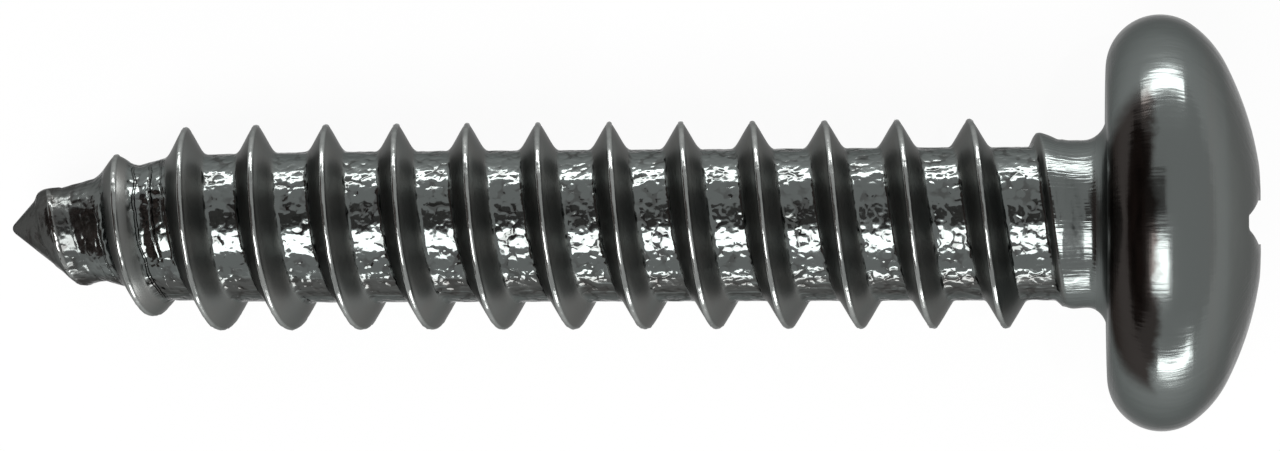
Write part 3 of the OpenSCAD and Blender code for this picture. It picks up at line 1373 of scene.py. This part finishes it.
    def build(self, placement: Placement) -> bpy.types.Material:
        """Make the material.

        Args:
            placement: Where the screw lies, to turn the patterns along its axis.

        Returns:
            The material.
        """
        material = bpy.data.materials.new("steel")
        material.use_nodes = True
        shader = Shader(material.node_tree)
        around = shader.node(
            "ShaderNodeMapping",
            {"vector_type": "TEXTURE"},
            {
                "Vector": shader.node("ShaderNodeTexCoord", None, None, "Object"),
                "Location": tuple(placement.origin),
                "Rotation": (0.0, -placement.tilt, 0.0),
                "Scale": (MM, MM, MM),
            },
        )
        x, y, z = (shader.node("ShaderNodeSeparateXYZ", None, {0: around}, axis) for axis in "XYZ")
        radius = shader.maths("SQRT", y * y + z * z) + 0.001
        zones = self.zones(shader, x)

        blobs = shader.noise(around, 5.2, 1.0, 0.25)
        # Painted shade on the upper side of the rim next to the neck, standing in for a dark reflection.
        rim_shade = self.rim_shade(shader, around, x, y, z) * zones[Zone.HEAD]
        seams = self.seams(shader, x, y, z) * zones[Zone.ROLLED]
        pebbles = shader.node(
            "ShaderNodeTexVoronoi",
            {"feature": "SMOOTH_F1"},
            {"Vector": around, "Scale": 5.5, "Randomness": 1.0, "Smoothness": 0.35},
        ) + blobs * 0.15
        broken = shader.rise(shader.noise(around, 3.0, 2.0), -0.08, 0.1)
        crack_shade = shader.rise(pebbles, 0.46, 0.6) * zones[Zone.ROLLED] * broken
        lengthwise = shader.noise(shader.vector(x * 1.1, y / radius * 26, z / radius * 26), 1.0, 2.0)
        head_lines = shader.noise(shader.vector(x * 1.6, y / radius * 38, z / radius * 38), 1.0, 2.0)
        rings = shader.noise(shader.vector(x * 7, radius * 7, 0.0), 1.0, 2.0)
        turned = 1 - shader.rise(x, -0.1, 0.35)
        patches = shader.rise(shader.noise(around, 1.3, 3.0), -0.15, 0.15)
        point = 1 - shader.rise(x + patches * 0.5, self.point_x - 0.9, self.point_x + 0.9)
        pitted = pebbles * pebbles * (broken * 0.7 + 0.3) * self.pebble
        relief = (
            zones[Zone.ROLLED] * (blobs * self.hammer - pitted)
            - seams * self.seam
            + zones[Zone.NECK] * (lengthwise * self.streak + blobs * self.hammer * 0.2)
            + zones[Zone.HEAD] * (head_lines * self.head_streak + rings * (self.ring + turned * 0.012))
            + zones[Zone.HEAD] * shader.noise(around, 1.7, 1.0) * self.dent
            + zones[Zone.FLANK] * blobs * self.hammer * (point * 0.6 + 0.05)
            + zones[Zone.CREST] * blobs * self.hammer * 0.4
        )
        normal = shader.node("ShaderNodeBump", None, {"Strength": 1.0, "Distance": MM, "Height": relief})

        colour = shader.blend(zones[Zone.FLANK] * (0.6 + patches * 0.4), rgba(self.steel), rgba(self.dull))
        banded = shader.rise(x + shader.noise(shader.vector(x * 3, 0.0, 0.0), 1.0, 2.0) * 2, 1.4, 2.4)
        colour = shader.blend(zones[Zone.HEAD] * banded * 0.5, colour, rgba(self.dull))
        # Partly wear, partly painted highlight: the crests are lightened so that their line of light shows
        # wider and brighter.
        colour = shader.blend(zones[Zone.CREST] * (0.5 + patches * 0.3), colour, rgba(self.rubbed_and_highlit))
        # Painted shade: a band along the roots' lower side is darkened, broken up by the lengthwise
        # streaks.
        lower = shader.rise(y, *self.lower_shade_rise) * (1 - shader.rise(y, *self.lower_shade_fall))
        lower_shade = zones[Zone.ROLLED] * lower * (1 - shader.rise(lengthwise, 0.06, 0.2))
        colour = shader.blend(lower_shade * 0.65, colour, rgba(self.painted_shade))
        # Painted shade: the cracks between the pebbly bumps on the roots are darkened by half.
        colour = shader.blend(crack_shade * 0.5, colour, rgba(self.painted_shade))
        # Painted shade: the point is darkened towards its end, its flanks more and its crests less.
        point_shade = point * (zones[Zone.FLANK] * 0.15 - zones[Zone.CREST] * 0.4 + 0.7)
        # Painted shade: the rolled-in seams are darkened as well, along their creases.
        colour = shader.blend(point_shade + seams * 0.3, colour, rgba(self.painted_shade))
        # Painted shade: the rim's upper side next to the neck is darkened almost to black.
        colour = shader.blend(rim_shade * 0.92, colour, rgba(self.rim_shade_colour))
        rough = sum(zones[zone] * value for zone, value in self.roughness) + patches * 0.04
        rough = rough + zones[Zone.ROLLED] * point * 0.14 + zones[Zone.HEAD] * turned * 0.16
        surface = material.node_tree.nodes["Principled BSDF"]
        surface.inputs["Metallic"].default_value = 1.0
        surface.inputs["Specular Tint"].default_value = rgba((self.edge,) * 3)
        shader.feed(surface.inputs["Base Color"], colour)
        shader.feed(surface.inputs["Roughness"], rough)
        shader.feed(surface.inputs["Normal"], normal)
        return material


# ---------------------------------------------------------------------------------------------
# Studio
# ---------------------------------------------------------------------------------------------


@dataclass(frozen=True)
class Panel:
    """A flat thing that hangs in the studio and faces the screw.

    Attributes:
        name: Its name.
        lean_x: Angle from the vertical towards +X, in degrees, of the way to its middle.
        lean_y: Angle from the vertical towards +Y, in degrees.
        width: Its width, in metres.
        depth: Its other size, in metres.
        distance: How far it stands from the screw, in metres.
    """

    name: str
    lean_x: float
    lean_y: float
    width: float
    depth: float
    distance: float

    @property
    def away(self) -> Vector:
        """Unit vector from the screw to its middle."""
        turned = Matrix.Rotation(math.radians(self.lean_x), 3, "Y") @ Vector((0.0, 0.0, 1.0))
        return Matrix.Rotation(-math.radians(self.lean_y), 3, "X") @ turned

    def hang(self, panel: bpy.types.Object) -> None:
        """Turn it to the screw, with its width level, and hide it from the camera.

        Args:
            panel: The lamp's or the card's object.
        """
        back = self.away
        side = Vector((0.0, 1.0, 0.0)) if abs(back.x) > 0.9 else Vector((1.0, 0.0, 0.0))
        side = (side - back * side.dot(back)).normalized()
        panel.matrix_world = Matrix.Translation(back * self.distance) @ Matrix(
            (side, back.cross(side), back)
        ).transposed().to_4x4()
        panel.name = self.name
        panel.visible_camera = False


@dataclass(frozen=True)
class Softbox(Panel):
    """A soft lamp.

    Attributes:
        radiance: Brightness of its face, where 1 is white.
    """

    radiance: float = 6.0

    def build(self) -> None:
        """Hang the lamp."""
        deselect()
        bpy.ops.object.light_add(type="AREA")
        lamp = bpy.context.object
        lamp.data.shape = "RECTANGLE"
        lamp.data.size = self.width
        lamp.data.size_y = self.depth
        lamp.data.energy = self.radiance * math.pi * self.width * self.depth
        self.hang(lamp)


@dataclass(frozen=True)
class Flag(Panel):
    """A dark card that takes light away on one side.

    Attributes:
        shade: What the card sends to the screw.
        patchy: How uneven it is, from 0 to 1.
    """

    shade: Colour = (0.1, 0.1, 0.1)
    patchy: float = 0.0

    def build(self) -> None:
        """Hang the card."""
        deselect()
        bpy.ops.mesh.primitive_plane_add(size=1.0)
        card = bpy.context.object
        card.scale = (self.width, self.depth, 1.0)
        bpy.ops.object.transform_apply(scale=True)
        cloth = bpy.data.materials.new(self.name)
        cloth.use_nodes = True
        cloth.node_tree.nodes.clear()
        shader = Shader(cloth.node_tree)
        place = shader.node("ShaderNodeTexCoord", None, None, "Object")
        folds = shader.rise(shader.noise(place, 9.0, 3.0), -0.1, 0.15) * self.patchy
        colour = shader.blend(folds, rgba(self.shade), rgba((0.02, 0.02, 0.02)))
        glow = shader.node("ShaderNodeEmission", None, {"Color": colour, "Strength": 1.0})
        output = cloth.node_tree.nodes.new("ShaderNodeOutputMaterial")
        shader.feed(output.inputs["Surface"], glow)
        card.data.materials.append(cloth)
        self.hang(card)


@dataclass
class Studio:
    """A pale floor, soft lamps, dark cards, an even grey room and the camera overhead."""

    camera_height: float = 0.0782
    camera_x: float = 0.00023
    camera_roll: float = -0.286
    lens: float = 108.7
    room_grey: float = 0.72
    floor_grey: float = 0.88
    floor_glow: float = 0.93
    floor_roughness: float = 0.05
    floor_ior: float = 2.1
    hangings: tuple[Union[Softbox, Flag], ...] = (
        Softbox("softbox_back", 1.0, 83.5, 0.32, 0.055, 0.25, 9.0),
        Softbox("softbox_front", 17.0, -84.5, 0.24, 0.045, 0.25, 9.0),
        Softbox("softbox_top", -14.0, -23.0, 0.17, 0.12, 0.25, 7.5),
        Flag("flag_side", -66.0, 0.0, 0.86, 0.42, 0.42, (0.16, 0.12, 0.11), 0.9),
        Flag("flag_top", -22.0, 14.0, 0.24, 0.14, 0.31, (0.16, 0.15, 0.145), 0.3),
    )

    def floor(self) -> None:
        """Lay the pale floor, which shows white and keeps the screw's shadow."""
        deselect()
        bpy.ops.mesh.primitive_plane_add(size=2.0, location=ORIGIN)
        floor = bpy.context.object
        floor.name = "floor"
        paint = bpy.data.materials.new("floor_paint")
        paint.use_nodes = True
        shader = Shader(paint.node_tree)
        satin = paint.node_tree.nodes["Principled BSDF"]
        satin.inputs["Base Color"].default_value = rgba((self.floor_grey,) * 3)
        satin.inputs["Roughness"].default_value = self.floor_roughness
        satin.inputs["IOR"].default_value = self.floor_ior
        seen = [
            shader.node("ShaderNodeLightPath", None, None, f"Is {ray} Ray") * self.floor_glow
            for ray in ("Camera", "Glossy", "Transmission")
        ]
        white = shader.node("ShaderNodeEmission", None, {"Color": rgba((1.0, 1.0, 1.0)), "Strength": 1.0})
        mixed = shader.node(
            "ShaderNodeMixShader",
            None,
            {0: seen[0] + seen[1] + seen[2], 1: Socket(shader, satin.outputs[0]), 2: white},
        )
        shader.feed(paint.node_tree.nodes["Material Output"].inputs["Surface"], mixed)
        floor.data.materials.append(paint)

    def build(self) -> None:
        """Make the floor, what hangs round the screw, the room's light and the camera."""
        self.floor()
        for hanging in self.hangings:
            hanging.build()
        world = bpy.data.worlds.new("room")
        world.use_nodes = True
        world.node_tree.nodes["Background"].inputs["Color"].default_value = rgba((self.room_grey,) * 3)
        bpy.context.scene.world = world
        bpy.ops.object.camera_add(location=(self.camera_x, 0.0, self.camera_height))
        camera = bpy.context.object
        camera.rotation_euler = (0.0, 0.0, math.radians(self.camera_roll))
        camera.data.lens = self.lens
        camera.data.sensor_width = 36.0
        camera.data.clip_start = 0.001
        bpy.context.scene.camera = camera
        bpy.context.scene.view_settings.view_transform = "Standard"


def main() -> None:
    """Build the screw and the studio, and report each piece."""
    logging.basicConfig(level=logging.INFO, format="%(name)s: %(message)s")
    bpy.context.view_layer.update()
    placement = Placement.from_record(frame["record"])
    log.info("the head end is raised by %.2f degrees", math.degrees(placement.tilt))
    Studio().build()
    screw = Screw(placement).build()
    screw.data.materials.append(SteelFinish().build(placement))
    log.info("%s has %d faces", screw.name, len(screw.data.polygons))


if __name__ == "__main__":
    main()
